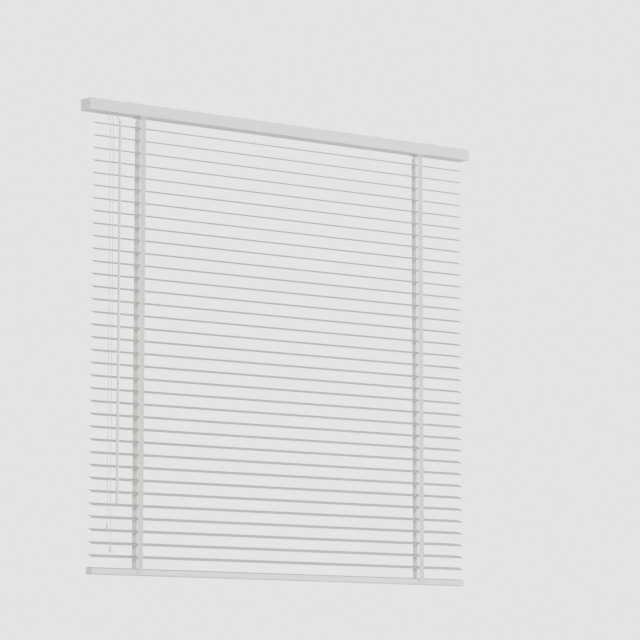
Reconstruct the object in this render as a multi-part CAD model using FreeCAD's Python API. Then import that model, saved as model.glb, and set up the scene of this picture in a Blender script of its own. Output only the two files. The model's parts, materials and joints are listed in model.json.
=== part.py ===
"""Venetian blind, fully lowered: a steel headrail with its tilt and lift gear, 36 crowned slats on two
tape ladders, a bottom rail, a tilt wand and two pull cords.

Frame: millimetres, +Z up, +X along the headrail, -Y towards the room. The origin is on the top face of
the middle mounting bracket, at the centre of its two screw holes. Each node is one STEP in parts/.
"""
import FreeCAD, Part
import math
import os

V = FreeCAD.Vector
X_AXIS, Y_AXIS, Z_AXIS = V(1, 0, 0), V(0, 1, 0), V(0, 0, 1)

# ---- headrail and brackets ----
HEAD_LENGTH = 1671.0
HEAD_HEIGHT = 40.0
HEAD_DEPTH = 58.0
HEAD_WALL = 1.0
LIP = 7.0                      # the channel's top edges are turned inwards by this much
CAP_WALL = 1.5                 # end cap face outside the channel
CAP_PLUG = 12.0                # how far the cap's plug goes into the channel
PLUG_WALL = 2.0
PLUG_GAP = 0.1
BRACKET_PLATE = 2.0
BRACKET_WEB = 1.5
BRACKET_MOUTH_GAP = 0.5
BRACKET_WALL_GAP = 1.0
BRACKET_LENGTH = 64.0
BRACKET_HOLE_RADIUS = 2.5
BRACKET_HOLE_SPACING = 40.0
BRACKET_X = (-650.0, 0.0, 650.0)
HEAD_TOP = -BRACKET_PLATE
HEAD_BOTTOM = HEAD_TOP - HEAD_HEIGHT
FLOOR = HEAD_BOTTOM + HEAD_WALL

# ---- slats ----
SLAT_COUNT = 36
SLAT_LENGTH = 1612.0
SLAT_WIDTH = 38.0
SLAT_THICK = 0.25
SLAT_CROWN = 2.0               # height of the arch across the width
SLAT_CORNER = 3.0
SLAT_PITCH = 43.3
FIRST_SLAT = HEAD_TOP - 76.8
REST_TILT = 20.0               # room-side edge down, degrees
ROUT_LENGTH = 15.0             # lift cord holes, longer across the slat
ROUT_WIDTH = 3.6
CARRIED = (32, 33, 34, 35)     # slats that the bottom rail gathers when it is raised
LAST_SLAT_GAP = 0.3            # under the last slat's edges, which lie on the bottom rail

# ---- bottom rail ----
RAIL_LENGTH = 1611.0
RAIL_HEIGHT = 22.0
RAIL_DEPTH = 38.0
RAIL_WALL = 1.0
RAIL_ROUND = 5.0
RAIL_BOTTOM = HEAD_TOP - 1614.0
RAIL_TOP = RAIL_BOTTOM + RAIL_HEIGHT
RAIL_PLUG = 10.0
CLIP_LENGTH, CLIP_PROUD, CLIP_MARGIN, CLIP_CORNER = 26.0, 3.2, 5.0, 3.0
CLIP_SLOT_LENGTH, CLIP_SLOT_DEPTH = 21.0, 1.6
BUTTON_RADIUS, BUTTON_PROUD = 3.2, 1.0

# ---- tape ladders and lift cords ----
TAPE_X = (-610.0, 610.0)
TAPE_WIDTH = 20.0
TAPE_THICK = 0.8
TAPE_Y = SLAT_WIDTH / 2 + 0.3 + TAPE_THICK / 2
TAPE_END = RAIL_BOTTOM + 5.0
FLARE_TOP = HEAD_BOTTOM - 5.0  # the tapes spread from drum width to slat width between these heights
FLARE_END = FIRST_SLAT + 17.0
CORD_RADIUS = 1.2
CORD_BEND = 5.0                # where a taut lift cord turns over an edge
CORD_ARC_SHARE = 0.45          # a hanging cord's arc takes this much of the shorter run
CORD_HOLE_RADIUS = 3.0
CORD_RUN_Z = FLOOR + 3.5
LIFT_RUN_Y = (-18.0, -22.5)
LIFT_TURN = 60.0               # a lift cord leaves its run this far before it turns down

# ---- tape cradles ----
CRADLE_LENGTH = 34.0
FLANGE_DEPTH, FLANGE_HEIGHT = 46.0, 3.0
NECK_LENGTH, NECK_DEPTH, NECK_GAP = 28.0, 38.0, 0.3
BASE_DEPTH, BASE_HEIGHT = 40.0, 1.5
FORK_THICK, FORK_DEPTH, FORK_OVER_ROD = 3.0, 30.0, 9.0
CORD_WINDOW_DEPTH, CORD_WINDOW_HEIGHT = 18.0, 7.0
TAPE_SLOT_LENGTH, TAPE_SLOT_WIDTH = 22.0, 2.4

# ---- tilt shaft ----
ROD_Z = HEAD_TOP - 18.0
ROD_ACROSS_FLATS = 6.0
ROD_LEFT, ROD_RIGHT = -722.0, 640.0
DRUM_RADIUS = 13.6
DRUM_LENGTH = 23.0
HUB_REACH = 19.0               # a drum's hubs end this far from its middle
SOCKET_GAP = 0.1
DRUM_TAPE_Y = DRUM_RADIUS + 0.3 + TAPE_THICK / 2
FIT = 0.08                     # radial running clearance on the shaft

# ---- wand and its worm ----
WAND_X = -711.0
WAND_Y = -25.5
WAND_RADIUS = 4.8
WAND_TOP = HEAD_TOP - 69.0
WAND_BOTTOM = HEAD_TOP - 1378.0
GEAR_TEETH = 18
GEAR_OUTER = 9.6
GEAR_ROOT = 7.9
GEAR_LENGTH = 9.0
GEAR_HUB = 10.0                # the gear's bosses end this far from its middle
WORM_OUTER = 4.7
WORM_CORE = 3.4
WORM_PITCH = 3.3
WORM_LENGTH = 16.0
STEM_RADIUS = 2.4
STEM_CUT = 20.0                # half the length of the slanted holes for the stem
HOUSING_LENGTH, HOUSING_WALL = 18.0, 1.5
HOUSING_FRONT, HOUSING_BACK, HOUSING_OVER_ROD = -14.0, 26.0, 15.0
WAND_EDGE = 1.2
NECK_RADIUS = 1.0
BALL_RADIUS = 3.0
CUP_LIP = 1.3                  # the wand's cup closes over the ball by this much

# ---- cord lock and pull cords ----
LOCK_X, LOCK_LENGTH, LOCK_DEPTH, LOCK_HEIGHT = -743.0, 34.0, 40.0, 30.0
LOCK_WALL = 2.0
LOCK_Y = -9.0
LOCK_FRONT = 17.5              # the case starts this far in front of the pull cords
LIFT_HOLE_RADIUS = 1.45
ROLLER_RADIUS, ROLLER_BACK, ROLLER_RISE, ROLLER_GAP = 4.0, 9.0, 10.0, 0.5
GROOVE_COUNT, GROOVE_RADIUS, GROOVE_OUT = 12, 0.7, 4.2
PULL_X = (-749.3, -736.2)
PULL_Y = -24.3
PULL_BEND_Z = HEAD_TOP - 74.4
TASSEL_TOP = (HEAD_TOP - 1443.6, HEAD_TOP - 1516.4)
TASSEL_HEIGHT = 23.0
TASSEL_TOP_RADIUS, TASSEL_BASE_RADIUS = 2.6, 4.6


def box(x0, x1, y0, y1, z0, z1):
    return Part.makeBox(x1 - x0, y1 - y0, z1 - z0, V(x0, y0, z0))


def cylinder(start, end, radius):
    axis = end - start
    return Part.makeCylinder(radius, axis.Length, start, axis)


def prism_along_x(points, x0, x1):
    """A flat outline of (y, z) points drawn at x0 and carried to x1."""
    outline = [V(x0, y, z) for y, z in points]
    return Part.Face(Part.makePolygon(outline + outline[:1])).extrude(V(x1 - x0, 0, 0))


def tube_path(points, bend=None):
    """Straight runs through the points, joined by tangent arcs of the given bend radius, or by arcs
    as wide as each corner's two runs allow."""
    edges, start = [], points[0]
    for before, corner, after in zip(points, points[1:], points[2:]):
        come, leave = (corner - before).normalize(), (after - corner).normalize()
        turn = come.getAngle(leave)
        shorter = min((corner - before).Length, (after - corner).Length)
        radius = bend or CORD_ARC_SHARE * shorter / math.tan(turn / 2)
        cut = radius * math.tan(turn / 2)
        first, last = corner - come * cut, corner + leave * cut
        inwards = (leave - come).normalize()
        centre = corner + inwards * (radius / math.cos(turn / 2))
        middle = centre - inwards * radius
        edges += [Part.makeLine(start, first), Part.Arc(first, middle, last).toShape()]
        start = last
    edges.append(Part.makeLine(start, points[-1]))
    return Part.Wire(edges)


def round_tube(points, radius, bend=None):
    path = tube_path(points, bend)
    section = Part.Wire(Part.makeCircle(radius, points[0], points[1] - points[0]))
    return path.makePipeShell([section], True, True)


def export(name, *solids):
    shape = solids[0] if len(solids) == 1 else Part.makeCompound(list(solids))
    shape.exportStep(f"parts/{name}.step")


def slat_height(number):
    return FIRST_SLAT - (number - 1) * SLAT_PITCH


# ---- headrail ----

def headrail():
    half, length = HEAD_DEPTH / 2, HEAD_LENGTH / 2 - CAP_WALL
    outer = box(-length, length, -half, half, HEAD_BOTTOM, HEAD_TOP)
    hollow = box(-length, length, -half + HEAD_WALL, half - HEAD_WALL, FLOOR, HEAD_TOP - HEAD_WALL)
    mouth = box(-length, length, -half + LIP, half - LIP, FLOOR, HEAD_TOP)
    rail = outer.cut(hollow).cut(mouth)
    for x in TAPE_X:
        window_x, window_y = NECK_LENGTH / 2 + NECK_GAP, NECK_DEPTH / 2 + NECK_GAP
        rail = rail.cut(box(x - window_x, x + window_x, -window_y, window_y, HEAD_BOTTOM - 1, FLOOR + 1))
    rail = rail.cut(cylinder(worm_point(-STEM_CUT), worm_point(STEM_CUT), STEM_RADIUS + 1.6))
    for x in PULL_X:
        rail = rail.cut(cylinder(V(x, LOCK_Y, FLOOR + 1), V(x, LOCK_Y, HEAD_BOTTOM - 1), CORD_HOLE_RADIUS))
    return rail


def end_cap(side):
    """A moulded cap: a face that covers the channel's end, and a plug inside its walls."""
    outer_x, face_x = side * HEAD_LENGTH / 2, side * (HEAD_LENGTH / 2 - CAP_WALL)
    half = HEAD_DEPTH / 2
    cap = box(min(outer_x, face_x), max(outer_x, face_x), -half, half, HEAD_BOTTOM, HEAD_TOP)
    inner, plug_x = half - HEAD_WALL - PLUG_GAP, face_x - side * CAP_PLUG
    x0, x1 = min(face_x, plug_x), max(face_x, plug_x)
    z0, z1 = FLOOR + PLUG_GAP, HEAD_TOP - HEAD_WALL - PLUG_GAP
    plug = box(x0, x1, -inner, inner, z0, z1)
    open_y = inner - PLUG_WALL
    plug = plug.cut(box(x0 - 1, x1 + 1, -open_y, open_y, z0 + PLUG_WALL, z1 + 1))
    return cap.fuse(plug).removeSplitter()


def mounting_bracket(x):
    """A top plate, a web through the channel's mouth, and a plate that hooks under the turned lips."""
    x0, x1 = x - BRACKET_LENGTH / 2, x + BRACKET_LENGTH / 2
    web = HEAD_DEPTH / 2 - LIP - BRACKET_MOUTH_GAP
    hook = HEAD_DEPTH / 2 - HEAD_WALL - BRACKET_WALL_GAP
    under, low = HEAD_TOP - HEAD_WALL, HEAD_TOP - HEAD_WALL - BRACKET_WEB
    bracket = box(x0, x1, -HEAD_DEPTH / 2, HEAD_DEPTH / 2, HEAD_TOP, 0)
    bracket = bracket.fuse(box(x0, x1, -web, web, low, HEAD_TOP))
    bracket = bracket.fuse(box(x0, x1, -hook, hook, low, under - PLUG_GAP))
    mouth = web - BRACKET_WEB
    bracket = bracket.cut(box(x0 - 1, x1 + 1, -mouth, mouth, low - 1, HEAD_TOP))
    for side in (-1, 1):
        hole_x = x + side * BRACKET_HOLE_SPACING / 2
        bracket = bracket.cut(cylinder(V(hole_x, 0, HEAD_TOP - 1), V(hole_x, 0, 1), BRACKET_HOLE_RADIUS))
    return bracket.removeSplitter()


def tape_cradle(x):
    """Sits in a window of the headrail's floor: its flange shows below, its two forks carry the shaft."""
    half, neck_x, neck_y = CRADLE_LENGTH / 2, NECK_LENGTH / 2, NECK_DEPTH / 2
    flange_y, base_y, fork_y = FLANGE_DEPTH / 2, BASE_DEPTH / 2, FORK_DEPTH / 2
    under = HEAD_BOTTOM - FLANGE_HEIGHT
    flange = box(x - half, x + half, -flange_y, flange_y, under, HEAD_BOTTOM)
    neck = box(x - neck_x, x + neck_x, -neck_y, neck_y, HEAD_BOTTOM, FLOOR)
    base = box(x - half, x + half, -base_y, base_y, FLOOR, FLOOR + BASE_HEIGHT)
    cradle = flange.fuse(neck).fuse(base)
    window_y = CORD_WINDOW_DEPTH / 2
    for side in (-1, 1):
        inner, outer = sorted((x + side * (half - FORK_THICK), x + side * half))
        fork = box(inner, outer, -fork_y, fork_y, FLOOR, ROD_Z + FORK_OVER_ROD)
        fork = fork.cut(box(inner - 1, outer + 1, -window_y, window_y,
                            FLOOR + BASE_HEIGHT, FLOOR + CORD_WINDOW_HEIGHT))
        cradle = cradle.fuse(fork)
    bore = rod_bore_radius() + FIT
    cradle = cradle.cut(cylinder(V(x - half - 1, 0, ROD_Z), V(x + half + 1, 0, ROD_Z), bore))
    slot_x, slot_y = TAPE_SLOT_LENGTH / 2, TAPE_SLOT_WIDTH / 2
    for y in (-DRUM_TAPE_Y, DRUM_TAPE_Y):
        cradle = cradle.cut(box(x - slot_x, x + slot_x, y - slot_y, y + slot_y, under - 1, FLOOR + 3))
    cradle = cradle.cut(cylinder(V(x, 0, under - 1), V(x, 0, FLOOR + 3), CORD_HOLE_RADIUS))
    return cradle.removeSplitter()


# ---- tilt shaft ----

def rod_bore_radius():
    """Radius of the round journals turned on the drum hubs and of the gear's bosses."""
    return ROD_ACROSS_FLATS / 2 / math.cos(math.pi / 6) + 1.2


def hexagon(across_flats):
    corner = across_flats / 2 / math.cos(math.pi / 6)
    return [(corner * math.cos(math.radians(60 * i)), ROD_Z + corner * math.sin(math.radians(60 * i)))
            for i in range(6)]


def tilt_rod():
    return prism_along_x(hexagon(ROD_ACROSS_FLATS), ROD_LEFT, ROD_RIGHT)


def tape_drum(x):
    """The tapes hang from this drum; its two hubs turn in the cradle's forks."""
    half = DRUM_LENGTH / 2
    drum = cylinder(V(x - half, 0, ROD_Z), V(x + half, 0, ROD_Z), DRUM_RADIUS)
    hubs = cylinder(V(x - HUB_REACH, 0, ROD_Z), V(x + HUB_REACH, 0, ROD_Z), rod_bore_radius())
    socket = prism_along_x(hexagon(ROD_ACROSS_FLATS + SOCKET_GAP), x - HUB_REACH - 1, x + HUB_REACH + 1)
    return drum.fuse(hubs).cut(socket)


def tilter_gear():
    """The wheel that the worm turns: straight-sided teeth around a hub, with a socket for the rod."""
    half, hub = GEAR_LENGTH / 2, rod_bore_radius()
    gear = cylinder(V(WAND_X - half, 0, ROD_Z), V(WAND_X + half, 0, ROD_Z), GEAR_OUTER)
    ends = WAND_X - GEAR_HUB, WAND_X + GEAR_HUB
    gear = gear.fuse(cylinder(V(ends[0], 0, ROD_Z), V(ends[1], 0, ROD_Z), hub))
    root_half = math.pi * GEAR_ROOT / GEAR_TEETH / 2 * 0.8
    tip_half = math.pi * GEAR_OUTER / GEAR_TEETH / 2 * 1.25
    gap = prism_along_x(
        [(-root_half, ROD_Z + GEAR_ROOT), (root_half, ROD_Z + GEAR_ROOT),
         (tip_half, ROD_Z + GEAR_OUTER + 0.5), (-tip_half, ROD_Z + GEAR_OUTER + 0.5)],
        WAND_X - half - 1, WAND_X + half + 1)
    for tooth in range(GEAR_TEETH):
        space = gap.copy()
        space.rotate(V(0, 0, ROD_Z), X_AXIS, 360 * tooth / GEAR_TEETH)
        gear = gear.cut(space)
    return gear.cut(prism_along_x(hexagon(ROD_ACROSS_FLATS + SOCKET_GAP), ends[0] - 1, ends[1] + 1))


def worm_direction():
    """From the headrail's underside, mid-depth, down and forwards to the wand's ball."""
    return (V(0, WAND_Y, WAND_TOP) - V(0, 0, HEAD_BOTTOM)).normalize()


def worm_point(distance):
    """A point on the worm's axis, this far below the headrail's underside."""
    return V(WAND_X, 0, HEAD_BOTTOM) + worm_direction() * distance


def worm_middle():
    """How far up its axis the worm passes closest to the gear, as a negative distance."""
    return (V(0, 0, ROD_Z) - V(0, 0, HEAD_BOTTOM)).dot(worm_direction())


def tilter_worm():
    """A single-start worm on a stem that leaves the headrail and ends in a ball for the wand's cup."""
    middle, half = worm_middle(), WORM_LENGTH / 2
    core = cylinder(worm_point(middle - half), worm_point(middle + half), WORM_CORE)
    turns = WORM_LENGTH - 2 * WORM_PITCH
    helix = Part.makeHelix(WORM_PITCH, turns, WORM_CORE)
    start = V(WORM_CORE - 0.4, 0, 0)
    corners = [start + V(0, 0, -0.9), start + V(0, 0, 0.9),
               V(WORM_OUTER, 0, 0.4), V(WORM_OUTER, 0, -0.4)]
    profile = Part.makePolygon(corners + corners[:1])
    thread = Part.Wire(helix.Edges).makePipeShell([profile], True, True)
    turn = FreeCAD.Rotation(Z_AXIS, worm_direction())
    thread.Placement = FreeCAD.Placement(worm_point(middle - half + WORM_PITCH), turn)
    reach = (V(0, WAND_Y, WAND_TOP) - V(0, 0, HEAD_BOTTOM)).Length
    stem = cylinder(worm_point(middle), worm_point(reach - 9), STEM_RADIUS)
    neck = cylinder(worm_point(reach - 10), worm_point(reach), NECK_RADIUS)
    ball = Part.makeSphere(BALL_RADIUS, V(WAND_X, WAND_Y, WAND_TOP))
    return core.fuse(thread).fuse(stem).fuse(neck).fuse(ball)


def tilter_housing():
    """A closed case round the worm and gear, open only where the shaft and the stem pass."""
    x0, x1 = WAND_X - HOUSING_LENGTH / 2, WAND_X + HOUSING_LENGTH / 2
    top, wall = ROD_Z + HOUSING_OVER_ROD, HOUSING_WALL
    case = box(x0, x1, HOUSING_FRONT, HOUSING_BACK, FLOOR, top)
    case = case.cut(box(x0 + wall, x1 - wall, HOUSING_FRONT + wall, HOUSING_BACK - wall,
                        FLOOR + wall, top - wall))
    case = case.cut(cylinder(V(x0 - 2, 0, ROD_Z), V(x1 + 2, 0, ROD_Z), rod_bore_radius() + FIT))
    return case.cut(cylinder(worm_point(-STEM_CUT), worm_point(STEM_CUT / 2), STEM_RADIUS + 0.6))


def wand():
    """A plain round wand whose cupped top closes over the worm's ball and hangs from it."""
    top = V(WAND_X, WAND_Y, WAND_TOP + CUP_LIP)
    rod = cylinder(top, V(WAND_X, WAND_Y, WAND_BOTTOM), WAND_RADIUS)
    rod = rod.makeFillet(WAND_EDGE, [edge for edge in rod.Edges if edge.Curve.TypeId == "Part::GeomCircle"])
    return rod.cut(Part.makeSphere(BALL_RADIUS + 0.1, V(WAND_X, WAND_Y, WAND_TOP)))


# ---- slats ----

def slat(number):
    """A thin crowned strip, tilted about the line through its lift cord holes."""
    half, sag = SLAT_WIDTH / 2, SLAT_CROWN
    radius = (half * half + sag * sag) / (2 * sag)
    spread = math.asin(half / radius)
    centre = -radius

    def arc(r):
        ends = [V(0, r * math.sin(a), centre + r * math.cos(a)) for a in (-spread, 0, spread)]
        return Part.Arc(*ends).toShape()

    top, under = arc(radius), arc(radius - SLAT_THICK)
    sides = [Part.makeLine(top.Vertexes[i].Point, under.Vertexes[i].Point) for i in (0, 1)]
    section = Part.Face(Part.Wire(Part.__sortEdges__([top, sides[1], under, sides[0]])))
    strip = section.extrude(V(SLAT_LENGTH, 0, 0))
    strip.translate(V(-SLAT_LENGTH / 2, 0, 0))
    blank = box(-SLAT_LENGTH / 2, SLAT_LENGTH / 2, -half - 1, half + 1, -20, 20)
    upright = [e for e in blank.Edges if abs(e.tangentAt(0).dot(Z_AXIS)) > 0.9]
    strip = strip.common(blank.makeFillet(SLAT_CORNER + 1, upright))
    for x in TAPE_X:
        strip = strip.cut(rout_hole(x))
    if number < SLAT_COUNT:
        strip.rotate(V(0, 0, 0), X_AXIS, REST_TILT)
        strip.translate(V(0, 0, slat_height(number)))
    else:
        edge_drop = radius - (radius - SLAT_THICK) * math.cos(spread)
        strip.translate(V(0, 0, RAIL_TOP + LAST_SLAT_GAP + edge_drop))
    return strip


def rout_hole(x):
    """An oblong hole, its long side across the slat."""
    round_end, reach = ROUT_WIDTH / 2, (ROUT_LENGTH - ROUT_WIDTH) / 2
    hole = box(x - round_end, x + round_end, -reach, reach, -5, 5)
    for side in (-1, 1):
        hole = hole.fuse(cylinder(V(x, side * reach, -5), V(x, side * reach, 5), round_end))
    return hole


# ---- tape ladders and lift cords ----

def tape(x, side):
    """A woven tape: from the drum, through the cradle, flaring out to the slats' edges, to the rail."""
    top_y, slat_y, half = side * DRUM_TAPE_Y, side * TAPE_Y, TAPE_THICK / 2
    centre = [(top_y, ROD_Z), (top_y, FLARE_TOP), (slat_y, FLARE_END), (slat_y, TAPE_END)]
    outline = [(y - half, z) for y, z in centre] + [(y + half, z) for y, z in reversed(centre)]
    return prism_along_x(outline, x - TAPE_WIDTH / 2, x + TAPE_WIDTH / 2)


def lift_cord(x, run_y):
    """Inside the headrail from the cord lock to the cradle, then down to the first gathered slat."""
    near = LOCK_X + LOCK_LENGTH / 2
    return round_tube([V(near, run_y, CORD_RUN_Z), V(x - LIFT_TURN, run_y, CORD_RUN_Z),
                       V(x, 0, CORD_RUN_Z), V(x, 0, slat_height(CARRIED[0]))], CORD_RADIUS, CORD_BEND)


def lift_cord_section(x, number):
    """The cord between one gathered slat and the next, or between the last one and the rail."""
    last = number == CARRIED[-1]
    end = RAIL_TOP if last else slat_height(number + 1)
    return cylinder(V(x, 0, slat_height(number)), V(x, 0, end), CORD_RADIUS)


# ---- bottom rail ----

def bottom_rail():
    half, length = RAIL_DEPTH / 2, RAIL_LENGTH / 2 - CAP_WALL
    outer = box(-length, length, -half, half, RAIL_BOTTOM, RAIL_TOP)
    inner = box(-length - 1, length + 1, -half + RAIL_WALL, half - RAIL_WALL,
                RAIL_BOTTOM + RAIL_WALL, RAIL_TOP - RAIL_WALL)
    outer = outer.makeFillet(RAIL_ROUND, lengthwise_edges(outer))
    rail = outer.cut(inner.makeFillet(RAIL_ROUND - RAIL_WALL, lengthwise_edges(inner)))
    for x in TAPE_X:
        rail = rail.cut(cylinder(V(x, 0, RAIL_TOP - 3), V(x, 0, RAIL_TOP + 1), CORD_RADIUS + 0.6))
    return rail


def lengthwise_edges(solid):
    return [e for e in solid.Edges if abs(e.tangentAt(e.FirstParameter).dot(X_AXIS)) > 0.99]


def rail_cap(side):
    outer_x, face_x = side * RAIL_LENGTH / 2, side * (RAIL_LENGTH / 2 - CAP_WALL)
    plug_x, half = face_x - side * RAIL_PLUG, RAIL_DEPTH / 2
    face = box(min(outer_x, face_x), max(outer_x, face_x), -half, half, RAIL_BOTTOM, RAIL_TOP)
    face = face.makeFillet(RAIL_ROUND, lengthwise_edges(face))
    gap = RAIL_WALL + PLUG_GAP
    plug = box(min(face_x, plug_x), max(face_x, plug_x), -half + gap, half - gap,
               RAIL_BOTTOM + gap, RAIL_TOP - gap)
    return face.fuse(plug.makeFillet(RAIL_ROUND - gap, lengthwise_edges(plug)))


def tape_clip(x, side):
    """Bridges the tape's end on the rail's face, with a round button that pins it."""
    face, outer = RAIL_DEPTH / 2, RAIL_DEPTH / 2 + CLIP_PROUD
    low, high = RAIL_BOTTOM + CLIP_MARGIN, RAIL_TOP - CLIP_MARGIN
    half, slot, middle = CLIP_LENGTH / 2, CLIP_SLOT_LENGTH / 2, (low + high) / 2
    clip = box(x - half, x + half, face, outer, low, high)
    clip = clip.makeFillet(CLIP_CORNER, [e for e in clip.Edges if abs(e.tangentAt(0).dot(Y_AXIS)) > 0.9])
    clip = clip.cut(box(x - slot, x + slot, face - 1, face + CLIP_SLOT_DEPTH, low - 1, high + 1))
    button = cylinder(V(x, outer - 0.5, middle), V(x, outer + BUTTON_PROUD, middle), BUTTON_RADIUS)
    clip = clip.fuse(button)
    if side < 0:
        clip = clip.mirror(V(0, 0, 0), Y_AXIS)
    return clip


# ---- cord lock and pull cords ----

def cord_lock_housing():
    x0, x1 = LOCK_X - LOCK_LENGTH / 2, LOCK_X + LOCK_LENGTH / 2
    y0, y1, top = LOCK_Y - LOCK_FRONT, LOCK_Y - LOCK_FRONT + LOCK_DEPTH, FLOOR + LOCK_HEIGHT
    case = box(x0, x1, y0, y1, FLOOR, top)
    case = case.cut(box(x0 + LOCK_WALL, x1 - LOCK_WALL, y0 + LOCK_WALL, y1 - LOCK_WALL,
                        FLOOR + LOCK_WALL, top + 1))
    for x in PULL_X:
        case = case.cut(cylinder(V(x, LOCK_Y, FLOOR + 3), V(x, LOCK_Y, FLOOR - 1), CORD_HOLE_RADIUS))
    for run_y in LIFT_RUN_Y:
        start, end = V(x1 - 4, run_y, CORD_RUN_Z), V(x1 + 1, run_y, CORD_RUN_Z)
        case = case.cut(cylinder(start, end, LIFT_HOLE_RADIUS))
    return case


def cord_lock_roller():
    """A knurled roller that drops onto the cords and grips them."""
    centre = V(LOCK_X, LOCK_Y + ROLLER_BACK, FLOOR + ROLLER_RISE)
    reach = V(LOCK_LENGTH / 2 - LOCK_WALL - ROLLER_GAP, 0, 0)
    roller = cylinder(centre - reach, centre + reach, ROLLER_RADIUS)
    for groove in range(GROOVE_COUNT):
        angle = math.tau * groove / GROOVE_COUNT
        offset = V(0, GROOVE_OUT * math.cos(angle), GROOVE_OUT * math.sin(angle))
        roller = roller.cut(cylinder(centre - reach + offset, centre + reach + offset, GROOVE_RADIUS))
    return roller


def pull_cord(x, end):
    """Out of the cord lock, forwards past the slats' edges, then straight down to its tassel."""
    points = [V(x, LOCK_Y, HEAD_BOTTOM + 4), V(x, LOCK_Y, HEAD_BOTTOM - 4),
              V(x, PULL_Y, PULL_BEND_Z), V(x, PULL_Y, end)]
    return round_tube(points, CORD_RADIUS)


def tassel(x, top):
    """A turned bell, hollow below, with the cord's knot inside."""
    y, low = PULL_Y, top - TASSEL_HEIGHT
    outline = [V(x, y, top), V(x + TASSEL_TOP_RADIUS, y, top),
               V(x + TASSEL_TOP_RADIUS, y, top - 4), V(x + TASSEL_BASE_RADIUS, y, low + 3),
               V(x + TASSEL_BASE_RADIUS, y, low), V(x + TASSEL_BASE_RADIUS - 1.4, y, low),
               V(x, y, low + 9)]
    return Part.Face(Part.makePolygon(outline + outline[:1])).revolve(V(x, y, 0), Z_AXIS, 360)


def main():
    os.makedirs("parts", exist_ok=True)
    export("headrail", headrail())
    export("headrail_end_caps", end_cap(-1), end_cap(1))
    export("mounting_brackets", *[mounting_bracket(x) for x in BRACKET_X])
    export("tape_cradles", *[tape_cradle(x) for x in TAPE_X])
    export("tilt_rod", tilt_rod())
    export("tape_drums", *[tape_drum(x) for x in TAPE_X])
    export("tilter_gear", tilter_gear())
    export("tilter_worm", tilter_worm())
    export("tilter_housing", tilter_housing())
    export("wand", wand())
    export("cord_lock_housing", cord_lock_housing())
    export("cord_lock_roller", cord_lock_roller())
    for number in range(1, SLAT_COUNT + 1):
        export(f"slat_{number:02d}", slat(number))
    export("front_tapes", *[tape(x, -1) for x in TAPE_X])
    export("back_tapes", *[tape(x, 1) for x in TAPE_X])
    export("lift_cords", *[lift_cord(x, y) for x, y in zip(TAPE_X, LIFT_RUN_Y)])
    for number in CARRIED:
        export(f"lift_cord_section_{number}", *[lift_cord_section(x, number) for x in TAPE_X])
    export("bottom_rail", bottom_rail())
    export("bottom_rail_end_caps", rail_cap(-1), rail_cap(1))
    export("tape_clips", *[tape_clip(x, side) for x in TAPE_X for side in (-1, 1)])
    export("pull_cords", *[pull_cord(x, end) for x, end in zip(PULL_X, TASSEL_TOP)])
    export("tassels", *[tassel(x, top) for x, top in zip(PULL_X, TASSEL_TOP)])


main()
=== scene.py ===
import json
import math

import bmesh
import bpy
from mathutils import Matrix, Vector


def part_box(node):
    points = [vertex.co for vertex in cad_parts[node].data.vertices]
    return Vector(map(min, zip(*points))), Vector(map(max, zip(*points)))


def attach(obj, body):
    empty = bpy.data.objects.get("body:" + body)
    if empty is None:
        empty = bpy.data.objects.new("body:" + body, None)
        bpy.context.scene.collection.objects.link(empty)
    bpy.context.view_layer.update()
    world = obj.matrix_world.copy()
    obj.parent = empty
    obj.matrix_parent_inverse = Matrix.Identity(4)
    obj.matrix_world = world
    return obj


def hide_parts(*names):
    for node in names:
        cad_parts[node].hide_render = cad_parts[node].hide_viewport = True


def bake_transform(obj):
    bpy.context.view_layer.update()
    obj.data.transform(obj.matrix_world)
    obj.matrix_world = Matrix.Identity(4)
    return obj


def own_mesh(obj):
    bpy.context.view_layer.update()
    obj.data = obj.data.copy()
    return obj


bl_info = {
    "name": "Venetian blind",
    "version": (1, 0, 0),
    "blender": (4, 5, 0),
    "location": "3D View > Sidebar > Blind",
    "description": "Finishes, tape ladders and cords for a venetian blind on its packed frame",
    "category": "Object",
}

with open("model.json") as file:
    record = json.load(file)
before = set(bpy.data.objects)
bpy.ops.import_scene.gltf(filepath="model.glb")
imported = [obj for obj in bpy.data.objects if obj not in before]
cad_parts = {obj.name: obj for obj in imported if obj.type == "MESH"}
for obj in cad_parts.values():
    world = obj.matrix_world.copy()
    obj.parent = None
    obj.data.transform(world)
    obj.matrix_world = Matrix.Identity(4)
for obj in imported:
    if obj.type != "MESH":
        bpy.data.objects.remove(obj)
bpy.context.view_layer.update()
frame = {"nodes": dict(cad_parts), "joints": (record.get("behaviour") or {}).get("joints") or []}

# ---- places, in metres ----
PIVOTS = {
    joint["child"]: Vector(joint["pos_m"])
    for joint in frame["joints"]
    if joint["name"].endswith("_tilt")
}
HEAD_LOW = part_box("headrail")[0]
RAIL_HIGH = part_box("bottom_rail")[1]
TAPES_LOW, TAPES_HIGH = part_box("back_tapes")
LOCK_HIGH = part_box("cord_lock_housing")[1]
SHAFT_Z = PIVOTS["tilt_shaft"].z
GATHERED = (32, 33, 34, 35)  # slats that the bottom rail picks up
SLATS = 36
TILTED_SLATS = 35  # all but the one that lies on the bottom rail
X_AXIS, Y_AXIS, Z_AXIS = Vector((1, 0, 0)), Vector((0, 1, 0)), Vector((0, 0, 1))

# ---- the slats' section, which the rungs follow ----
SLAT_WIDTH = 0.038
SLAT_CROWN = 0.002
SLAT_THICK = 0.00025
SLAT_TILT = math.radians(20)

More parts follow.
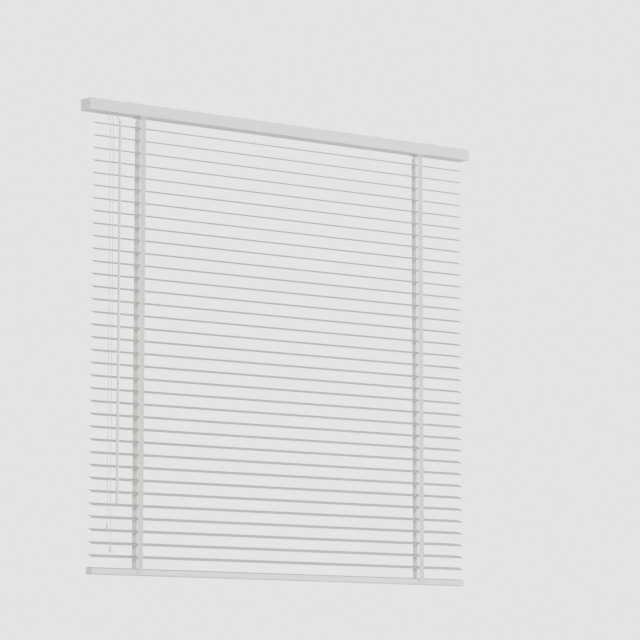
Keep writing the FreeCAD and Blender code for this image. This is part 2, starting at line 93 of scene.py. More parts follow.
# ---- routes of the cords: the same points as their tubes ----
LIFT_RUN_Y = (-0.018, -0.0225)
LIFT_RUN_Z = -0.0375
LIFT_TURN = 0.060  # a lift cord leaves its straight run this far before it turns down
PULL_X = (-0.7493, -0.7362)
LOCK_Y = -0.009
PULL_Y = -0.0243
PULL_BEND_Z = -0.0764
TASSEL_TOPS = (-1.4456, -1.5184)
PULL_LENGTHS = (1.408, 1.481)
EXIT_REACH = 0.004  # a pull cord runs straight down for this far inside and outside its hole
TASSEL_HEIGHT = 0.023


def linear(hex_colour):
    """An sRGB hex colour as three linear values."""
    shares = [int(hex_colour[i : i + 2], 16) / 255 for i in (0, 2, 4)]
    return tuple(s / 12.92 if s <= 0.04045 else ((s + 0.055) / 1.055) ** 2.4 for s in shares)


def colour_property(name, description, hex_colour):
    return bpy.props.FloatVectorProperty(
        name=name, description=description, subtype="COLOR", size=3, min=0, max=1,
        default=linear(hex_colour))


def length_property(name, description, metres):
    return bpy.props.FloatProperty(
        name=name, description=description, unit="LENGTH", subtype="DISTANCE", min=0,
        precision=5, default=metres)


class BlindColours(bpy.types.PropertyGroup):
    paint: colour_property("Rail paint", "Powder coat on the headrail and bottom rail", "CDCECC")
    enamel: colour_property("Slat enamel", "Stoved enamel on the slats", "BCBEBE")
    dust: colour_property("Dust", "Fine dust lying on the slats' upper faces", "ABA69C")
    cotton: colour_property("Tape cotton", "Bleached cotton of the ladder tapes", "D2D0C8")
    braid: colour_property("Cord braid", "Polyester of the lift and pull cords", "D2D0C8")
    moulding: colour_property("Mouldings", "Caps, cradles, clips and cord lock", "C8C8C5")
    acetal: colour_property("Gears", "Natural acetal of the gear, worm and drums", "E8E6DE")
    acrylic: colour_property("Wand", "Extruded acrylic of the tilt wand", "D4D6D6")
    zinc: colour_property("Zinc plate", "Brackets and tilt rod", "C3C6C9")
    floor: colour_property("Floor", "Pale studio floor", "F2F1EE")


class BlindSizes(bpy.types.PropertyGroup):
    tape_width: length_property("Tape width", "Across a ladder tape", 0.020)
    tape_thickness: length_property("Tape thickness", "Through a tape's selvedge", 0.0008)
    tape_out: length_property("Tape distance", "From the cords' line to a tape", 0.0192)
    rung_diameter: length_property("Rung diameter", "Thread under each slat", 0.0009)
    rung_offset: length_property("Rung offset", "From the lift cord to each rung", 0.0055)
    cord_diameter: length_property("Cord diameter", "Lift and pull cords", 0.0024)
    thread_pitch: length_property("Thread pitch", "Between threads as drawn on the tapes", 0.001)
    strand_pitch: length_property("Strand pitch", "Between strands as drawn on the cords", 0.0012)


class BlindStage(bpy.types.PropertyGroup):
    floor_level: bpy.props.FloatProperty(
        name="Floor level", description="Height of the floor", unit="LENGTH", default=-2.35)
    lens: bpy.props.FloatProperty(
        name="Lens", description="Focal length on a 36 mm sensor, in mm", default=177.27)
    camera_place: bpy.props.FloatVectorProperty(
        name="Camera place", description="Where the camera stands", subtype="TRANSLATION",
        unit="LENGTH", default=(-6.5522, -8.8867, -2.0847))
    camera_turn: bpy.props.FloatProperty(
        name="Camera turn", description="From straight ahead towards the right",
        subtype="ANGLE", default=math.radians(37.08))
    camera_rise: bpy.props.FloatProperty(
        name="Camera rise", description="Upwards from level", subtype="ANGLE",
        default=math.radians(7.156))
    key_power: bpy.props.FloatProperty(
        name="Key light", description="Power of the large light at the front", unit="POWER",
        default=330.0)
    wall_light: bpy.props.FloatProperty(
        name="Wall light", description="Strength of the white surroundings", default=3.2)
    ceiling_light: bpy.props.FloatProperty(
        name="Ceiling light", description="Strength of the light overhead", default=0.75)


# ---- materials ----

def add(tree, kind, fields=None, sockets=None):
    """One node. fields are its settings, and sockets are values or outputs to link from."""
    made = tree.nodes.new(kind)
    for name, value in (fields or {}).items():
        setattr(made, name, value)
    for name, value in (sockets or {}).items():
        if isinstance(value, bpy.types.NodeSocket):
            tree.links.new(value, made.inputs[name])
        else:
            made.inputs[name].default_value = value
    return made


def shaded(colour, share):
    """A linear colour, lighter or darker by a share, with full alpha."""
    return (*[min(1.0, c * share) for c in colour], 1.0)


def blank(name):
    material = bpy.data.materials.new(name)
    material.use_nodes = True
    return material, material.node_tree, material.node_tree.nodes["Principled BSDF"]


def grained(name, colour, drift, gloss, grain, depth, fixed):
    """A coated, plated or moulded surface. Its shade drifts over the real piece by a share, its
    roughness lies between two values, and its relief has a grain size (x, y, z) and a depth."""
    known = bpy.data.materials.get(name)
    if known:
        return known
    material, tree, shader = blank(name)
    for socket, value in fixed.items():
        shader.inputs[socket].default_value = value
    place = add(tree, "ShaderNodeTexCoord").outputs["Object"]
    fine_place = add(tree, "ShaderNodeMapping", sockets={
        "Vector": place, "Scale": [1 / size for size in grain]}).outputs["Vector"]
    fine = add(tree, "ShaderNodeTexNoise", sockets={
        "Vector": fine_place, "Scale": 1.0, "Detail": 3.0, "Roughness": 0.55}).outputs["Fac"]
    broad = add(tree, "ShaderNodeTexNoise", sockets={
        "Vector": place, "Scale": 9.0, "Detail": 4.0, "Roughness": 0.6}).outputs["Fac"]
    both = add(tree, "ShaderNodeMath", {"operation": "MULTIPLY_ADD"}, {
        0: fine, 1: 0.35, 2: broad}).outputs[0]
    tone = add(tree, "ShaderNodeMapRange", sockets={
        "Value": both, "From Min": 0.4, "From Max": 0.95, "To Min": 0.0, "To Max": 1.0})
    mixed = add(tree, "ShaderNodeMix", {"data_type": "RGBA"}, {
        0: tone.outputs["Result"], 6: shaded(colour, 1 - drift), 7: shaded(colour, 1 + drift)})
    rough = add(tree, "ShaderNodeMapRange", sockets={
        "Value": both, "From Min": 0.4, "From Max": 0.95, "To Min": gloss[0], "To Max": gloss[1]})
    relief = add(tree, "ShaderNodeBump", sockets={
        "Height": fine, "Distance": depth, "Strength": 1.0})
    tree.links.new(mixed.outputs[2], shader.inputs["Base Color"])
    tree.links.new(rough.outputs["Result"], shader.inputs["Roughness"])
    tree.links.new(relief.outputs["Normal"], shader.inputs["Normal"])
    return material


def powder_coated_steel():
    """Polyester powder melts into a skin with a soft orange peel about 2 mm across."""
    return grained("powder_coated_steel", bpy.context.scene.blind_colours.paint, 0.035,
                   (0.34, 0.46), (0.002, 0.002, 0.002), 0.00004, {"IOR": 1.5})


def spark_textured_abs():
    """ABS from a spark-eroded mould: a dull, even, slightly pebbled skin, 0.6 mm across."""
    return grained("spark_textured_abs", bpy.context.scene.blind_colours.moulding, 0.04,
                   (0.46, 0.6), (0.0006, 0.0006, 0.0006), 0.00003, {"IOR": 1.53})


def natural_acetal():
    """Acetal from a polished mould: waxy, a little translucent, with faint flow marks."""
    return grained("natural_acetal", bpy.context.scene.blind_colours.acetal, 0.03,
                   (0.28, 0.4), (0.004, 0.0015, 0.0015), 0.00002,
                   {"IOR": 1.48, "Subsurface Weight": 0.08, "Subsurface Scale": 0.002})


def extruded_acrylic():
    """Opal acrylic drawn through a die: glossy, with die lines 0.5 mm apart down its length."""
    return grained("extruded_opal_acrylic", bpy.context.scene.blind_colours.acrylic, 0.025,
                   (0.16, 0.26), (0.0005, 0.0005, 0.12), 0.00002,
                   {"IOR": 1.49, "Coat Weight": 0.15})


def zinc_plated_steel():
    """Bright zinc plate: soft grey metal, its shine broken by faint rolling marks along X."""
    return grained("zinc_plated_steel", bpy.context.scene.blind_colours.zinc, 0.06,
                   (0.28, 0.44), (0.03, 0.001, 0.001), 0.00002, {"Metallic": 1.0})


def stoved_enamel_aluminium():
    """Coil-coated aluminium: satin enamel with rolling lines along the slat, 1 mm apart, and fine
    dust on whatever faces up."""
    colours = bpy.context.scene.blind_colours
    known = bpy.data.materials.get("stoved_enamel_aluminium")
    if known:
        return known
    material = grained("stoved_enamel_aluminium", colours.enamel, 0.03, (0.3, 0.42),
                       (0.15, 0.001, 0.001), 0.00002, {"IOR": 1.5})
    tree = material.node_tree
    shader = tree.nodes["Principled BSDF"]
    paint = shader.inputs["Base Color"].links[0].from_socket
    facing = add(tree, "ShaderNodeSeparateXYZ", sockets={
        "Vector": add(tree, "ShaderNodeNewGeometry").outputs["Normal"]}).outputs["Z"]
    speck = add(tree, "ShaderNodeTexNoise", sockets={
        "Vector": add(tree, "ShaderNodeTexCoord").outputs["Object"], "Scale": 55.0,
        "Detail": 5.0, "Roughness": 0.7}).outputs["Fac"]
    lying = add(tree, "ShaderNodeMapRange", sockets={
        "Value": facing, "From Min": 0.5, "From Max": 1.0, "To Min": 0.0, "To Max": 0.3})
    amount = add(tree, "ShaderNodeMath", {"operation": "MULTIPLY"}, {
        0: lying.outputs["Result"], 1: speck}).outputs[0]
    dusty = add(tree, "ShaderNodeMix", {"data_type": "RGBA"}, {
        0: amount, 6: paint, 7: (*colours.dust, 1.0)})
    tree.links.new(dusty.outputs[2], shader.inputs["Base Color"])
    return material


def woven_surface(name, colour, pitch, bands, gloss, sheen):
    """Threads crossing: two sets of ridges at a real pitch, on UVs that are in metres. bands names
    the two directions, and the valleys between threads carry painted shade:
    the base colour is darker where the weave is low and a touch lighter on the thread tops."""
    known = bpy.data.materials.get(name)
    if known:
        return known
    material, tree, shader = blank(name)
    shader.inputs["Sheen Weight"].default_value = sheen
    shader.inputs["Sheen Roughness"].default_value = 0.5
    shader.inputs["IOR"].default_value = 1.5
    place = add(tree, "ShaderNodeTexCoord").outputs["UV"]
    wave_scale = math.pi / 10 / pitch  # a wave texture's bands repeat every pi/10 at scale 1
    ridges = [add(tree, "ShaderNodeTexWave", {"bands_direction": band}, {
        "Vector": place, "Scale": wave_scale, "Distortion": 0.6, "Detail": 1.0}).outputs["Fac"]
        for band in bands]
    weave = add(tree, "ShaderNodeMath", {"operation": "MULTIPLY"}, {
        0: ridges[0], 1: ridges[1]}).outputs[0]
    slub = add(tree, "ShaderNodeTexNoise", sockets={
        "Vector": place, "Scale": 220.0, "Detail": 4.0, "Roughness": 0.65}).outputs["Fac"]
    height = add(tree, "ShaderNodeMath", {"operation": "MULTIPLY_ADD"}, {
        0: slub, 1: 0.5, 2: weave}).outputs[0]
    # painted shade: the base colour falls to 0.8 of the cotton or braid colour in the low valleys
    # between threads and rises to 1.03 on the thread tops
    tone = add(tree, "ShaderNodeMapRange", sockets={
        "Value": height, "From Min": 0.1, "From Max": 1.1, "To Min": 0.0, "To Max": 1.0})
    mixed = add(tree, "ShaderNodeMix", {"data_type": "RGBA"}, {
        0: tone.outputs["Result"], 6: shaded(colour, 0.8), 7: shaded(colour, 1.03)})
    rough = add(tree, "ShaderNodeMapRange", sockets={
        "Value": height, "From Min": 0.1, "From Max": 1.1, "To Min": gloss[1], "To Max": gloss[0]})
    relief = add(tree, "ShaderNodeBump", sockets={
        "Height": height, "Distance": pitch / 5, "Strength": 0.8})
    tree.links.new(mixed.outputs[2], shader.inputs["Base Color"])
    tree.links.new(rough.outputs["Result"], shader.inputs["Roughness"])
    tree.links.new(relief.outputs["Normal"], shader.inputs["Normal"])
    return material


def woven_cotton():
    """Bleached cotton tape in plain weave: dry and matt, with a soft fuzz. Its threads are really
    0.5 mm apart, drawn twice as coarse so that they show."""
    return woven_surface("woven_cotton", bpy.context.scene.blind_colours.cotton,
                         bpy.context.scene.blind_sizes.thread_pitch, ("X", "Y"), (0.78, 0.92), 0.25)


def braided_polyester():
    """Eight-strand polyester braid: strands cross on the slant, with a slight silk shine. They are
    really 0.8 mm apart, drawn half as coarse again so that they show."""
    return woven_surface("braided_polyester", bpy.context.scene.blind_colours.braid,
                         bpy.context.scene.blind_sizes.strand_pitch, ("DIAGONAL", "Y"),
                         (0.5, 0.68), 0.1)


def pale_floor():
    """Matt painted boards, sprayed: even, with only the faintest drift of shade."""
    return grained("matt_floor_paint", bpy.context.scene.blind_colours.floor, 0.012,
                   (0.75, 0.85), (0.004, 0.004, 0.004), 0.00002, {"IOR": 1.45})


# ---- meshes ----

def sweep(bm, points, ring, side, widths=None):
    """Carries a ring of (along side, outwards) offsets down the points, with UVs in metres.
    widths are shares of the ring's full width, one at each point."""
    uv_layer = bm.loops.layers.uv.verify()
    around = [0.0]
    for a, b in zip(ring, ring[1:] + ring[:1]):
        around.append(around[-1] + math.dist(a, b))
    rows, along = [], 0.0
    for i, point in enumerate(points):
        tangent = (points[min(i + 1, len(points) - 1)] - points[max(i - 1, 0)]).normalized()
        side = (side - tangent * side.dot(tangent)).normalized()
        out = tangent.cross(side)
        if i:
            along += (point - points[i - 1]).length
        wide = widths[i] if widths else 1.0
        rows.append(([bm.verts.new(point + side * a * wide + out * b) for a, b in ring], along))
    for (near, v0), (far, v1) in zip(rows, rows[1:]):
        for k in range(len(ring)):
            j = (k + 1) % len(ring)
            face = bm.faces.new((near[k], near[j], far[j], far[k]))
            face.smooth = True
            corners = ((around[k], v0), (around[k + 1], v0), (around[k + 1], v1), (around[k], v1))
            for loop, corner in zip(face.loops, corners):
                loop[uv_layer].uv = corner
    for end in (rows[0][0][::-1], rows[-1][0]):
        for edge in bm.faces.new(end).edges:
            edge.smooth = False


def finely(points, values, step):
    """Points and their values, with more between them so that none are further apart than step."""
    fine, shares = [points[0]], [values[0]]
    for a, b, low, high in zip(points, points[1:], values, values[1:]):
        count = max(1, math.ceil((b - a).length / step))
        for i in range(1, count + 1):
            fine.append(a.lerp(b, i / count))
            shares.append(low + (high - low) * i / count)
    return fine, shares


def round_ring(radius, sides):
    return [(radius * math.cos(math.tau * k / sides), radius * math.sin(math.tau * k / sides))
            for k in range(sides)]


def tape_ring(width, thickness):
    """A tape's section: a thinner web between two rounded selvedges."""
    half, thick = width / 2, thickness / 2
    upper = [(half, 0.0), (half - 0.25 * thick, 0.75 * thick), (half - thick, thick),
             (half - 2.5 * thick, 0.7 * thick)]
    upper += [(-a, b) for a, b in reversed(upper)]
    return upper + [(-a, -b) for a, b in upper[1:-1]]


def lathe(bm, profile, centre, sides):
    """Turns (radius, height) points about a vertical line through centre."""
    rows = [[bm.verts.new(centre + Vector((r * math.cos(math.tau * k / sides),
                                          r * math.sin(math.tau * k / sides), z)))
             for k in range(sides)] for r, z in profile]
    for near, far in zip(rows, rows[1:] + rows[:1]):
        for k in range(sides):
            j = (k + 1) % sides
            bm.faces.new((near[k], near[j], far[j], far[k])).smooth = True


def spline_points(name, route):
    """Points along the NURBS spline that has the route as its control points."""
    curve = bpy.data.curves.new(name + "_line", "CURVE")
    curve.dimensions = "3D"
    spline = curve.splines.new("NURBS")
    spline.points.add(len(route) - 1)
    for point, place in zip(spline.points, route):
        point.co = (*place, 1.0)
    spline.order_u = 3
    spline.use_endpoint_u = True
    spline.resolution_u = 24
    carrier = bpy.data.objects.new(name + "_line", curve)
    line = bpy.data.meshes.new_from_object(carrier)
    points = [v.co.copy() for v in line.vertices]
    bpy.data.objects.remove(carrier)
    bpy.data.curves.remove(curve)
    bpy.data.meshes.remove(line)
    return points


def piece(name, bm, material, body=None):
    """A new object with that mesh and finish, riding on a CAD body where one is named."""
    mesh = bpy.data.meshes.new(name)
    bm.to_mesh(mesh)
    bm.free()
    mesh.materials.append(material)
    made = bpy.data.objects.new(name, mesh)
    bpy.context.scene.collection.objects.link(made)
    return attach(made, body) if body else made


def dress(material, *names):
    """Puts one finish on every slot of these CAD nodes."""
    for name in names:
        for slot in frame["nodes"][name].material_slots:
            slot.material = material


# ---- operators ----

class BLIND_OT_headrail(bpy.types.Operator):
    """Finishes the headrail, its end caps and its three brackets"""
    bl_idname = "blind.headrail"
    bl_label = "Headrail"

    def execute(self, context):
        dress(powder_coated_steel(), "headrail")
        dress(spark_textured_abs(), "headrail_end_caps", "tape_cradles")
        dress(zinc_plated_steel(), "mounting_brackets")
        return {"FINISHED"}


class BLIND_OT_gear(bpy.types.Operator):
    """Finishes the tilt shaft, worm gear and cord lock inside the headrail"""
    bl_idname = "blind.gear"
    bl_label = "Tilt and lock gear"

    def execute(self, context):
        dress(zinc_plated_steel(), "tilt_rod", "cord_lock_roller")
        dress(natural_acetal(), "tape_drums", "tilter_gear", "tilter_worm")
        dress(spark_textured_abs(), "tilter_housing", "cord_lock_housing")
        return {"FINISHED"}


class BLIND_OT_wand(bpy.types.Operator):
    """Finishes the tilt wand"""
    bl_idname = "blind.wand"
    bl_label = "Wand"

    def execute(self, context):
        dress(extruded_acrylic(), "wand")
        return {"FINISHED"}


class BLIND_OT_slats(bpy.types.Operator):
    """Finishes the 36 slats"""
    bl_idname = "blind.slats"
    bl_label = "Slats"

    def execute(self, context):
        dress(stoved_enamel_aluminium(), *[f"slat_{n:02d}" for n in range(1, SLATS + 1)])
        return {"FINISHED"}


class BLIND_OT_bottom_rail(bpy.types.Operator):
    """Finishes the bottom rail, its end caps and the tape clips"""
    bl_idname = "blind.bottom_rail"
    bl_label = "Bottom rail"

    def execute(self, context):
        dress(powder_coated_steel(), "bottom_rail")
        dress(spark_textured_abs(), "bottom_rail_end_caps", "tape_clips")
        return {"FINISHED"}


class BLIND_OT_tapes(bpy.types.Operator):
    """Weaves the four ladder tapes: gathered at the drum, hanging, and rising with the rail"""
    bl_idname = "blind.tapes"
    bl_label = "Ladder tapes"

    CLOSED = 0.42  # share of their distance that the tapes keep when the slats are shut
    HALF_THICK = 0.0004  # from a face of the tapes' box to the middle of a tape
    NECK_TOP = 0.016  # height above the headrail's underside, beside the drum
    SLOT_EXIT = 0.004  # this and the next four are depths below the headrail
    FLARE_END = 0.025
    SLEEVE_TOP = 0.0196
    HANG_TOP = 0.0482
    SLEEVE_END = 0.075
    UPPER_END = -1.385
    LOWER_TOP = -1.350
    FOOT_TOP = -1.549
    LOWER_END = -1.556
    FOOT_BEND = 0.012  # this and the next two are heights above the bottom rail
    FOOT_END = 0.002
    TAIL_TOP = 0.003
    LEAN_AXIS = (0.9, 0.436)  # across and up: a tape leans in from where it is held
    FLARE_KEEP = 0.088
    FOOT_KEEP = 0.324
    GATHER = 0.66  # share of its width that the tape has in the cradle's slot
    FLARE_WIDTHS = (GATHER, 0.7, 0.96, 1.0, 1.0)
    UNDER_NARROWER = 0.0004  # a length that slides under another is this much narrower
    WRAP_DEGREES = range(-100, 101, 10)
    ROW = 0.008  # longest face along a tape, so that its shading stays even

    def strip(self, context, name, line, body, slim=1.0, widths=None):
        """One length of tape along (x, y, z) points."""
        sizes = context.scene.blind_sizes
        width = sizes.tape_width - self.UNDER_NARROWER * (slim < 1)
        thick = sizes.tape_thickness * slim
        rows, shares = finely(line, widths or (1.0,) * len(line), self.ROW)
        bm = bmesh.new()
        sweep(bm, rows, tape_ring(width, thick), X_AXIS.copy(), shares)
        made = piece(name, bm, woven_cotton(), body)
        return made

    def execute(self, context):
        out = context.scene.blind_sizes.tape_out
        width = context.scene.blind_sizes.tape_width
        centre_x = TAPES_HIGH.x - width / 2
        drum_y = TAPES_LOW.y + self.HALF_THICK
        end_y = TAPES_HIGH.y - self.HALF_THICK
        head, rail_top = HEAD_LOW.z, RAIL_HIGH.z
        gathered = (self.GATHER, self.GATHER)
        across, up = self.LEAN_AXIS
        neck = [(drum_y, head + self.NECK_TOP), (drum_y, head - self.SLOT_EXIT)]
        flare = [(drum_y, head - self.SLOT_EXIT), (drum_y * 1.03, head - 0.0065),
                 (out * 0.98, head - 0.0168), (out, head - 0.0200), (out, head - self.FLARE_END)]
        sleeve = [(out, head - self.SLEEVE_TOP), (out, head - self.SLEEVE_END)]
        hang = [(out, head - self.HANG_TOP), (out, self.UPPER_END)]
        rise = [(out, self.LOWER_TOP), (out, self.LOWER_END)]
        foot = [(out, self.FOOT_TOP), (out, rail_top + self.FOOT_BEND),
                (end_y, rail_top + self.FOOT_END)]
        tail = [(end_y, rail_top + self.TAIL_TOP), (end_y, TAPES_LOW.z)]
        for x, hand in ((-centre_x, "left"), (centre_x, "right")):
            for side, face in ((-1, "front"), (1, "back")):
                inward = (Y_AXIS, (0, 0, 0), self.CLOSED)
                flare_lean = ((0, side * across, -up),
                              (x, side * drum_y, head - self.SLOT_EXIT), self.FLARE_KEEP)
                foot_lean = ((0, side * across, up), (x, side * end_y, rail_top), self.FOOT_KEEP)
                for line, part, rides, slim, widths, closing in (
                        (neck, "_neck", "headrail_assembly", 1.0, gathered, None),
                        (flare, "_flare", "headrail_assembly", 1.0, self.FLARE_WIDTHS, flare_lean),
                        (sleeve, "_sleeve", "headrail_assembly", 0.8, None, inward),
                        (hang, "", f"{face}_tapes", 1.0, None, inward),
                        (rise, "_lower", "bottom_rail", 0.8, None, inward),
                        (foot, "_foot", "bottom_rail", 0.7, None, foot_lean),
                        (tail, "_end", "bottom_rail", 0.7, None, None)):
                    points = [Vector((x, side * y, z)) for y, z in line]
                    made = self.strip(context, f"tape_{face}_{hand}{part}", points, rides, slim,
                                      widths)
                    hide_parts(f"{face}_tapes")
                    if closing:
                        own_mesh(made)
            turns = [math.radians(d) for d in self.WRAP_DEGREES]
            wrap = [Vector((x, drum_y * math.sin(a), SHAFT_Z + drum_y * math.cos(a)))
                    for a in turns]
            self.strip(context, f"tape_wrap_{hand}", wrap, "tilt_shaft",
                       widths=(self.GATHER,) * len(wrap))
        return {"FINISHED"}


class BLIND_OT_rungs(bpy.types.Operator):
    """Adds two thread rungs under each slat at each ladder, knotted to the tapes"""
    bl_idname = "blind.rungs"
    bl_label = "Ladder rungs"

    STEPS = 6
    SPAN = 0.98  # share of the slat's width along which a rung follows it
    KNOT = (0.0013, 0.0006, 0.001)

    def line(self, pivot, x, radius, reach):
        """From the front tape, round the slat's underside, to the back tape."""
        half = SLAT_WIDTH / 2
        arch = (half ** 2 + SLAT_CROWN ** 2) / (2 * SLAT_CROWN)
        under = arch - SLAT_THICK - radius
        turn = Matrix.Rotation(SLAT_TILT, 3, "X")
        points = []
        for step in range(-self.STEPS, self.STEPS + 1):
            y = self.SPAN * half * step / self.STEPS
            points.append(pivot + turn @ Vector((0, y, math.sqrt(under ** 2 - y ** 2) - arch)))
        front = Vector((0, -reach, points[0].z - radius))
        back = Vector((0, reach, points[-1].z - radius))
        return [Vector((x, p.y, p.z)) for p in [front] + points + [back]]

    def execute(self, context):
        sizes = context.scene.blind_sizes
        radius = sizes.rung_diameter / 2
        reach = sizes.tape_out - sizes.tape_thickness / 2
        centre_x = TAPES_HIGH.x - sizes.tape_width / 2
        knot = Matrix.Diagonal((*self.KNOT, 1.0))
        for number in range(1, TILTED_SLATS + 1):
            name = f"slat_{number:02d}"
            bm = bmesh.new()
            for x in (-centre_x, centre_x):
                for offset in (-sizes.rung_offset, sizes.rung_offset):
                    line = self.line(PIVOTS[name], x + offset, radius, reach)
                    sweep(bm, line, round_ring(radius, 6), X_AXIS.copy())
                    for end in (line[0], line[-1]):
                        bmesh.ops.create_uvsphere(bm, u_segments=8, v_segments=5, radius=1.0,
                                                  matrix=Matrix.Translation(end) @ knot)
            piece(f"rungs_{number:02d}", bm, woven_cotton(), name)
        return {"FINISHED"}


class BLIND_OT_lift_cords(bpy.types.Operator):
    """Runs the two lift cords from the cord lock along the headrail and down through the slats"""
    bl_idname = "blind.lift_cords"
    bl_label = "Lift cords"

    SIDES = 10
    NEAR_EDGE = 0.0144  # six diameters from the edge that the cord turns over
    LAP = 0.004
    LOWER_SHARE = 0.92  # the rising length is a little thinner, so that it slides into the upper

    def execute(self, context):
        sizes = context.scene.blind_sizes
        radius = sizes.cord_diameter / 2
        centre_x = TAPES_HIGH.x - sizes.tape_width / 2
        end_z = PIVOTS[f"slat_{GATHERED[0]:02d}"].z
        sections = [f"lift_cord_section_{n}" for n in GATHERED]
        for x, run_y, hand in ((-centre_x, LIFT_RUN_Y[0], "left"),
                               (centre_x, LIFT_RUN_Y[1], "right")):
            leave = Vector((x - LIFT_TURN, run_y, LIFT_RUN_Z))
            edge = Vector((x, 0, LIFT_RUN_Z))
            route = [Vector((LOCK_HIGH.x, run_y, LIFT_RUN_Z)), leave,
                     edge + (leave - edge).normalized() * self.NEAR_EDGE, edge,
                     edge - Z_AXIS * self.NEAR_EDGE, Vector((x, 0, end_z))]
            bm = bmesh.new()
            sweep(bm, spline_points(f"lift_{hand}", route), round_ring(radius, self.SIDES),
                  Y_AXIS.copy())
            upper = piece(f"lift_cord_{hand}", bm, braided_polyester(),
                          "headrail_assembly")
            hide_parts("lift_cords")
            low, high = RAIL_HIGH.z - 0.002, end_z + self.LAP
            bm = bmesh.new()
            sweep(bm, [Vector((x, 0, high)), Vector((x, 0, (low + high) / 2)), Vector((x, 0, low))],
                  round_ring(radius * self.LOWER_SHARE, self.SIDES), Y_AXIS.copy())
            lower = piece(f"lift_cord_lower_{hand}", bm, braided_polyester(),
                          "bottom_rail")
            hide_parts(*sections)
        return {"FINISHED"}


class BLIND_OT_pull_cords(bpy.types.Operator):
    """Hangs the two pull cords from the cord lock, each ending in a turned tassel"""
    bl_idname = "blind.pull_cords"
    bl_label = "Pull cords"

    STRETCH = (-0.130, -1.250)  # the cord's plain length, which follows the hand

    def tassel(self, x, top, hand):
        """A small bell, hollow below, with a bored crown that the cord's knot sits in."""
        profile = [(0.0013, 0.0), (0.0023, 0.0), (0.0026, -0.0004), (0.0027, -0.0015),
                   (0.00295, -0.006), (0.0034, -0.012), (0.004, -0.018), (0.0046, -0.0215),
                   (0.0046, -0.0226), (0.0043, -TASSEL_HEIGHT), (0.0037, -TASSEL_HEIGHT),
                   (0.0034, -0.0215), (0.0027, -0.012), (0.0019, -0.005), (0.0013, -0.004)]
        bm = bmesh.new()
        lathe(bm, profile[::-1], Vector((x, PULL_Y, top)), 32)
        made = piece(f"tassel_{hand}", bm, spark_textured_abs(), "pull_cords")
        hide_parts("tassels")
        return made

    def execute(self, context):
        diameter = context.scene.blind_sizes.cord_diameter
        for x, top, hand, length in zip(PULL_X, TASSEL_TOPS, ("left", "right"), PULL_LENGTHS):
            turn = Vector((x, LOCK_Y, HEAD_LOW.z - EXIT_REACH))
            bend = Vector((x, PULL_Y, PULL_BEND_Z))
            route = [Vector((x, LOCK_Y, HEAD_LOW.z + EXIT_REACH)), turn, bend,
                     bend - Z_AXIS * (bend - turn).length, Vector((x, PULL_Y, top))]
            points = spline_points(f"pull_{hand}", route)
            bm = bmesh.new()
            sweep(bm, points, round_ring(diameter / 2, 12), X_AXIS.copy())
            made = piece(f"pull_cord_{hand}", bm, braided_polyester())
            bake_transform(made)
            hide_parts("pull_cords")
            self.tassel(x, top, hand)
        return {"FINISHED"}


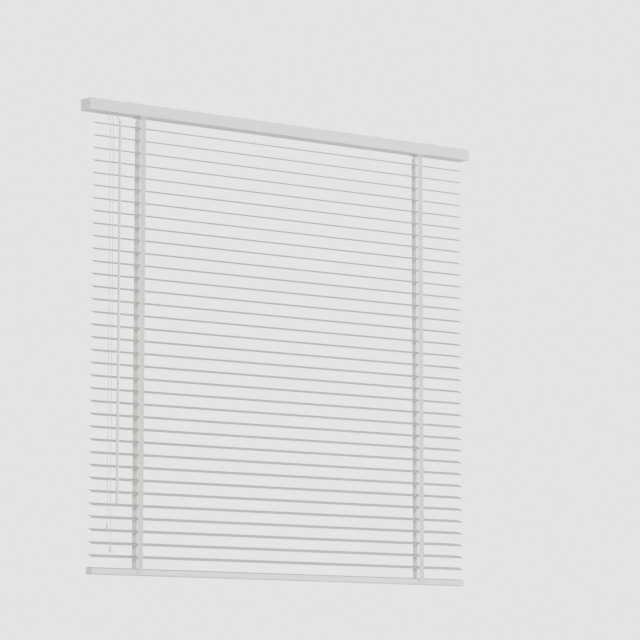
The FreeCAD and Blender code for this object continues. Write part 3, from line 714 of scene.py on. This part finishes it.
class BLIND_OT_stage(bpy.types.Operator):
    """Lays the floor and sets the lights and camera"""
    bl_idname = "blind.stage"
    bl_label = "Stage"

    FLOOR_HALF = 20.0
    CLIP_END = 100.0
    KEY_PLACE = (2.6, -5.0, -0.9)
    KEY_AIM = (0.0, 0.0, -0.8)
    KEY_SIZE = 2.6
    HORIZON = (0.3, 0.42)  # the upward share of a view at which walls turn into ceiling

    def area_light(self, name, place, aim, size, power):
        light = bpy.data.lights.new(name, "AREA")
        light.size, light.energy = size, power
        made = bpy.data.objects.new(name, light)
        made.location = place
        made.rotation_euler = (Vector(aim) - Vector(place)).to_track_quat("-Z", "Y").to_euler()
        made.visible_camera = False
        bpy.context.scene.collection.objects.link(made)

    def execute(self, context):
        stage = context.scene.blind_stage
        bm = bmesh.new()
        bmesh.ops.create_grid(bm, x_segments=1, y_segments=1, size=self.FLOOR_HALF,
                              matrix=Matrix.Translation((0, 0, stage.floor_level)))
        mesh = bpy.data.meshes.new("floor")
        bm.to_mesh(mesh)
        bm.free()
        mesh.materials.append(pale_floor())
        floor = bpy.data.objects.new("floor", mesh)
        context.scene.collection.objects.link(floor)

        world = bpy.data.worlds.new("studio")
        world.use_nodes = True
        tree = world.node_tree
        height = add(tree, "ShaderNodeSeparateXYZ", sockets={
            "Vector": add(tree, "ShaderNodeTexCoord").outputs["Generated"]}).outputs["Z"]
        light = add(tree, "ShaderNodeMapRange", sockets={
            "Value": height, "From Min": self.HORIZON[0], "From Max": self.HORIZON[1],
            "To Min": stage.wall_light, "To Max": stage.ceiling_light})
        background = tree.nodes["Background"]
        background.inputs["Color"].default_value = (1.0, 1.0, 1.0, 1.0)
        tree.links.new(light.outputs["Result"], background.inputs["Strength"])
        context.scene.world = world
        self.area_light("key", self.KEY_PLACE, self.KEY_AIM, self.KEY_SIZE, stage.key_power)

        camera = bpy.data.cameras.new("camera")
        camera.sensor_width, camera.lens = 36.0, stage.lens
        camera.clip_end = self.CLIP_END
        viewer = bpy.data.objects.new("camera", camera)
        viewer.location = stage.camera_place
        viewer.rotation_euler = (math.pi / 2 + stage.camera_rise, 0, -stage.camera_turn)
        context.scene.collection.objects.link(viewer)
        context.scene.camera = viewer
        return {"FINISHED"}


class BLIND_PT_pieces(bpy.types.Panel):
    """Lists the blind's pieces, sizes and colours"""
    bl_idname = "BLIND_PT_pieces"
    bl_label = "Venetian blind"
    bl_space_type = "VIEW_3D"
    bl_region_type = "UI"
    bl_category = "Blind"

    def draw(self, context):
        for operator in OPERATORS:
            self.layout.operator(operator.bl_idname)
        for group in (context.scene.blind_sizes, context.scene.blind_colours,
                      context.scene.blind_stage):
            column = self.layout.column()
            for name in group.bl_rna.properties.keys():
                if name not in ("rna_type", "name"):
                    column.prop(group, name)


OPERATORS = (BLIND_OT_headrail, BLIND_OT_gear, BLIND_OT_wand, BLIND_OT_slats,
             BLIND_OT_bottom_rail, BLIND_OT_tapes, BLIND_OT_rungs, BLIND_OT_lift_cords,
             BLIND_OT_pull_cords, BLIND_OT_stage)
CLASSES = (BlindColours, BlindSizes, BlindStage, *OPERATORS, BLIND_PT_pieces)


def register():
    for item in CLASSES:
        bpy.utils.register_class(item)
    bpy.types.Scene.blind_colours = bpy.props.PointerProperty(type=BlindColours)
    bpy.types.Scene.blind_sizes = bpy.props.PointerProperty(type=BlindSizes)
    bpy.types.Scene.blind_stage = bpy.props.PointerProperty(type=BlindStage)


def unregister():
    for name in ("blind_colours", "blind_sizes", "blind_stage"):
        delattr(bpy.types.Scene, name)
    for item in reversed(CLASSES):
        bpy.utils.unregister_class(item)


def main():
    register()
    bpy.ops.blind.headrail()
    bpy.ops.blind.gear()
    bpy.ops.blind.wand()
    bpy.ops.blind.slats()
    bpy.ops.blind.bottom_rail()
    bpy.ops.blind.tapes()
    bpy.ops.blind.rungs()
    bpy.ops.blind.lift_cords()
    bpy.ops.blind.pull_cords()
    bpy.ops.blind.stage()
    bpy.context.view_layer.update()


if __name__ == "__main__":
    main()
